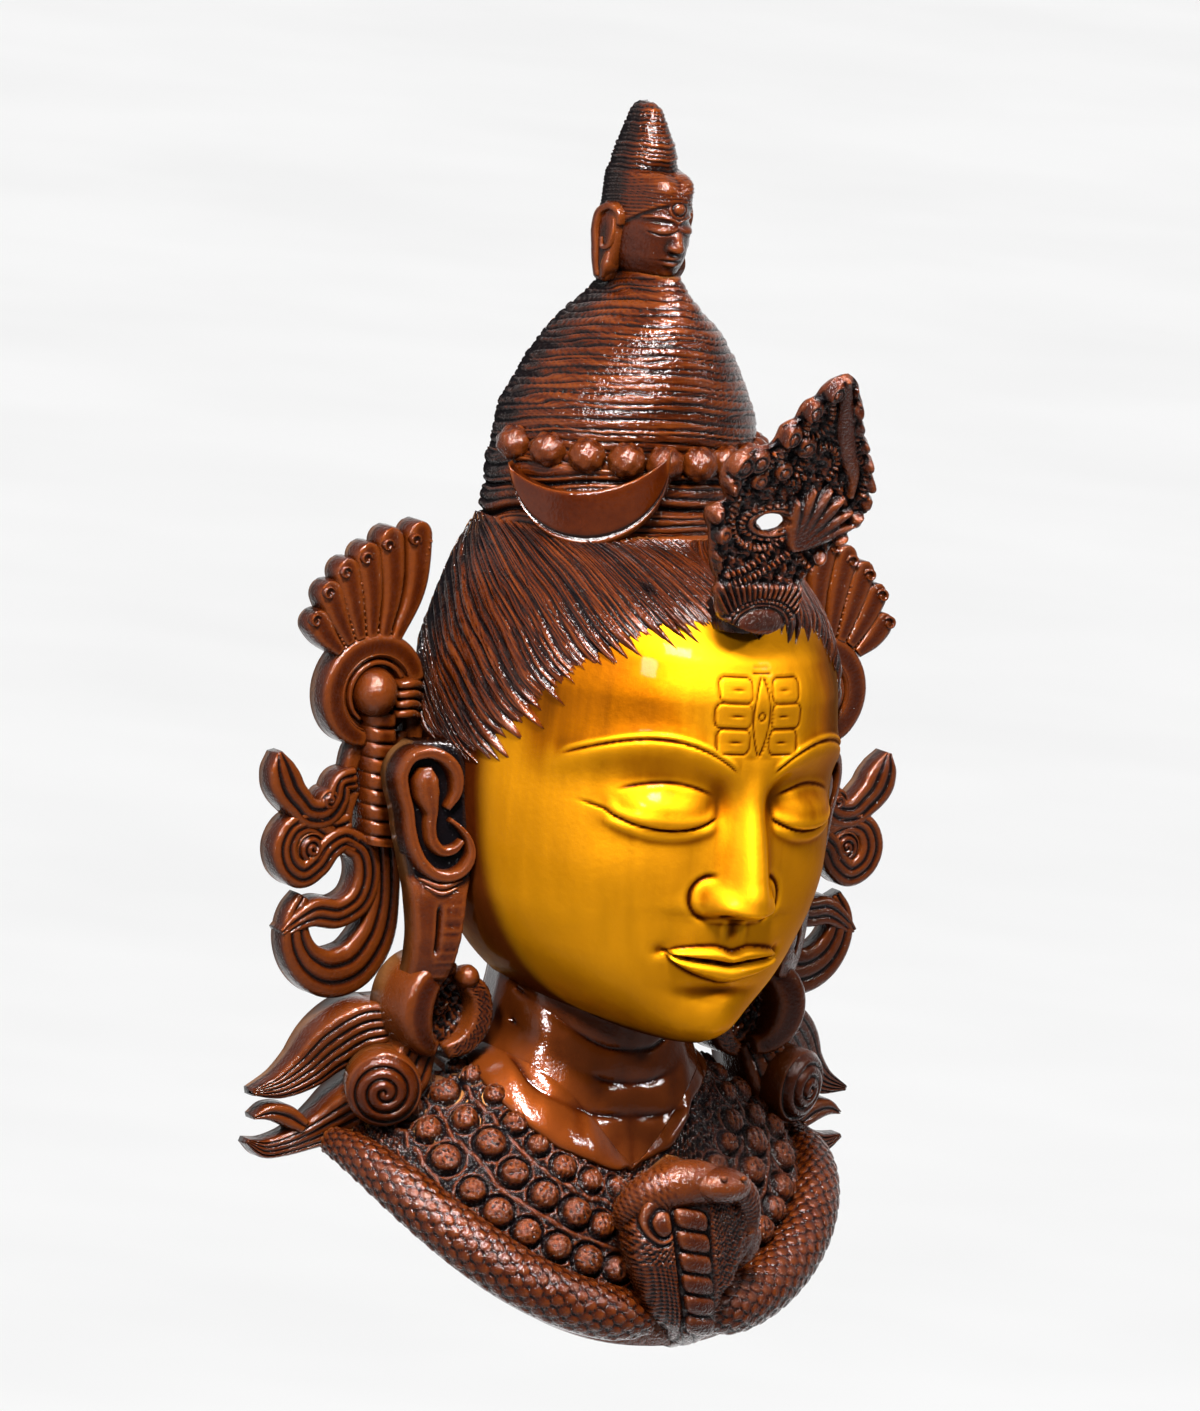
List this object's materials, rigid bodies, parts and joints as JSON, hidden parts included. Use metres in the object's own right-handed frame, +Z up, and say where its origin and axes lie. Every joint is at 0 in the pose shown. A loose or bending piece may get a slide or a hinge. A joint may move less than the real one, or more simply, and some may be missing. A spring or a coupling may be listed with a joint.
{
  "type": "wall mask",
  "caption": "Hollow cast brass wall mask of a calm deity: topknot with small head, leaf-shaped crest, side ribbons, long ears, beaded chest and a snake along the lower rim.",
  "frame": {"origin": "middle of the back face of the hanging bar, in the wall plane", "axes": "+Z up, the face looks along -Y, +Y into the wall, +X to the right of a viewer in front"},
  "size_m": [0.2606, 0.1559, 0.439],
  "materials": {
    "mask": "glossy dark brown lacquer, rubbed golden on the face",
    "crest": "glossy dark brown lacquer"
  },
  "bodies": {
    "root": {"mask": "mask", "crest": "crest"}
  },
  "joints": []
}
